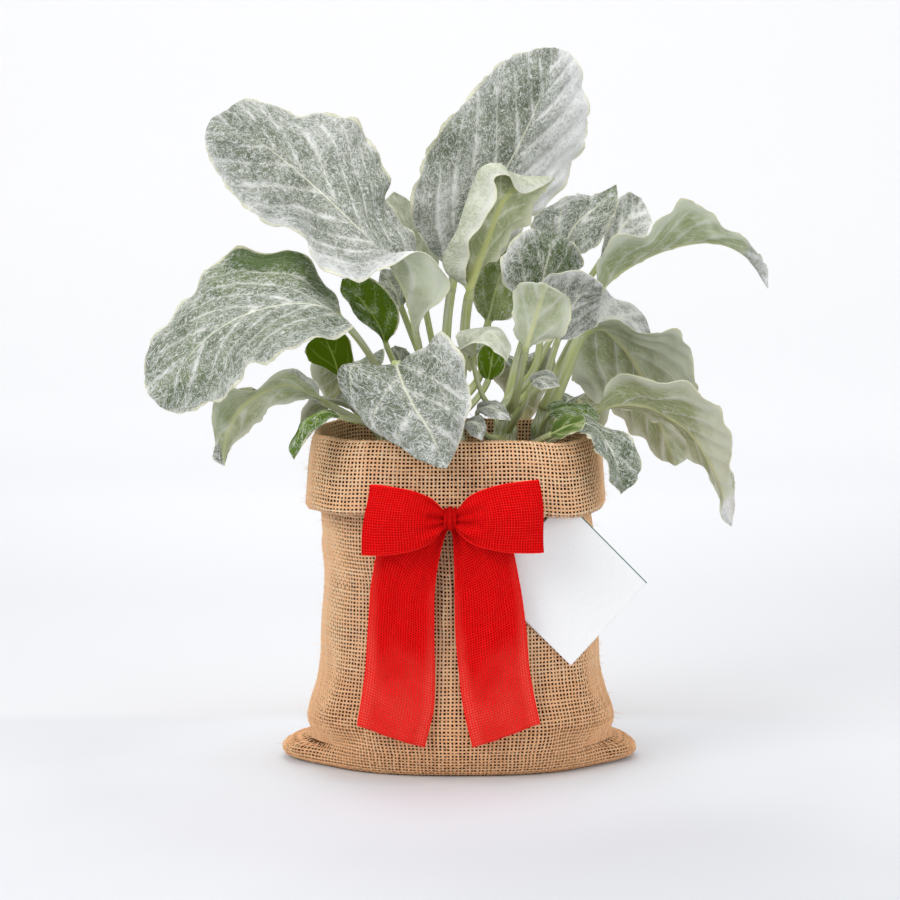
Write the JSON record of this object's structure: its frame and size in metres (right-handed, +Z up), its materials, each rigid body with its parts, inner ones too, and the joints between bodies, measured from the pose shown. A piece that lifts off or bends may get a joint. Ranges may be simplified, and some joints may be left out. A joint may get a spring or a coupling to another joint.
{
  "type": "potted senecio candicans",
  "caption": "Silver-leaved foliage plant in a nursery pot inside a hessian gift sack with a folded cuff, a red ribbon bow and a plain square tag.",
  "frame": {"origin": "on the resting surface, under the middle of the sack's flat bottom", "axes": "+Z up, -Y towards the front with the bow, +X to the right as seen from the front"},
  "size_m": [0.3393, 0.1999, 0.3919],
  "materials": {
    "hessian": "coarse open weave",
    "pot_plastic": "matte",
    "soil": "crumbly, moist",
    "stem": "felted",
    "silver_leaf": "felted",
    "green_leaf": "thinly felted",
    "ribbon": "open weave",
    "card": "satin"
  },
  "bodies": {
    "root": {"sack": "hessian", "nursery_pot": "pot_plastic", "soil": "soil", "stem_1": "stem", "stem_2": "stem", "stem_3": "stem", "stem_4": "stem", "leaf_tall_back": "silver_leaf", "leaf_folded_front": "silver_leaf", "leaf_upper_left": "silver_leaf", "leaf_left_big": "silver_leaf", "leaf_left_droop": "silver_leaf", "leaf_front_centre": "silver_leaf", "leaf_green_upper": "green_leaf", "leaf_green_lower": "green_leaf", "leaf_left_small": "green_leaf", "leaf_centre_arch": "silver_leaf", "leaf_pale_upright": "silver_leaf", "leaf_grey_behind": "silver_leaf", "leaf_dark_mottled": "silver_leaf", "leaf_upper_right": "silver_leaf", "leaf_upper_right_back": "silver_leaf", "leaf_right_long": "silver_leaf", "leaf_right_silver": "silver_leaf", "leaf_right_big": "silver_leaf", "leaf_right_low": "silver_leaf", "leaf_right_small": "silver_leaf", "leaf_bright_front": "green_leaf", "leaf_dark_right": "green_leaf", "leaf_curled_small": "silver_leaf", "leaf_centre_dark": "green_leaf", "leaf_green_centre": "green_leaf", "leaf_pale_back_left": "silver_leaf", "leaf_small_low_centre": "silver_leaf", "leaf_small_low_left": "silver_leaf", "leaf_grey_left_back": "silver_leaf", "leaf_olive_small": "silver_leaf", "leaf_far_1": "silver_leaf", "leaf_far_2": "silver_leaf", "leaf_far_3": "silver_leaf", "leaf_far_4": "silver_leaf", "leaf_far_5": "silver_leaf", "leaf_far_6": "silver_leaf", "bow_loops": "ribbon", "bow_tails": "ribbon", "bow_knot": "ribbon", "tag": "card"}
  },
  "joints": []
}
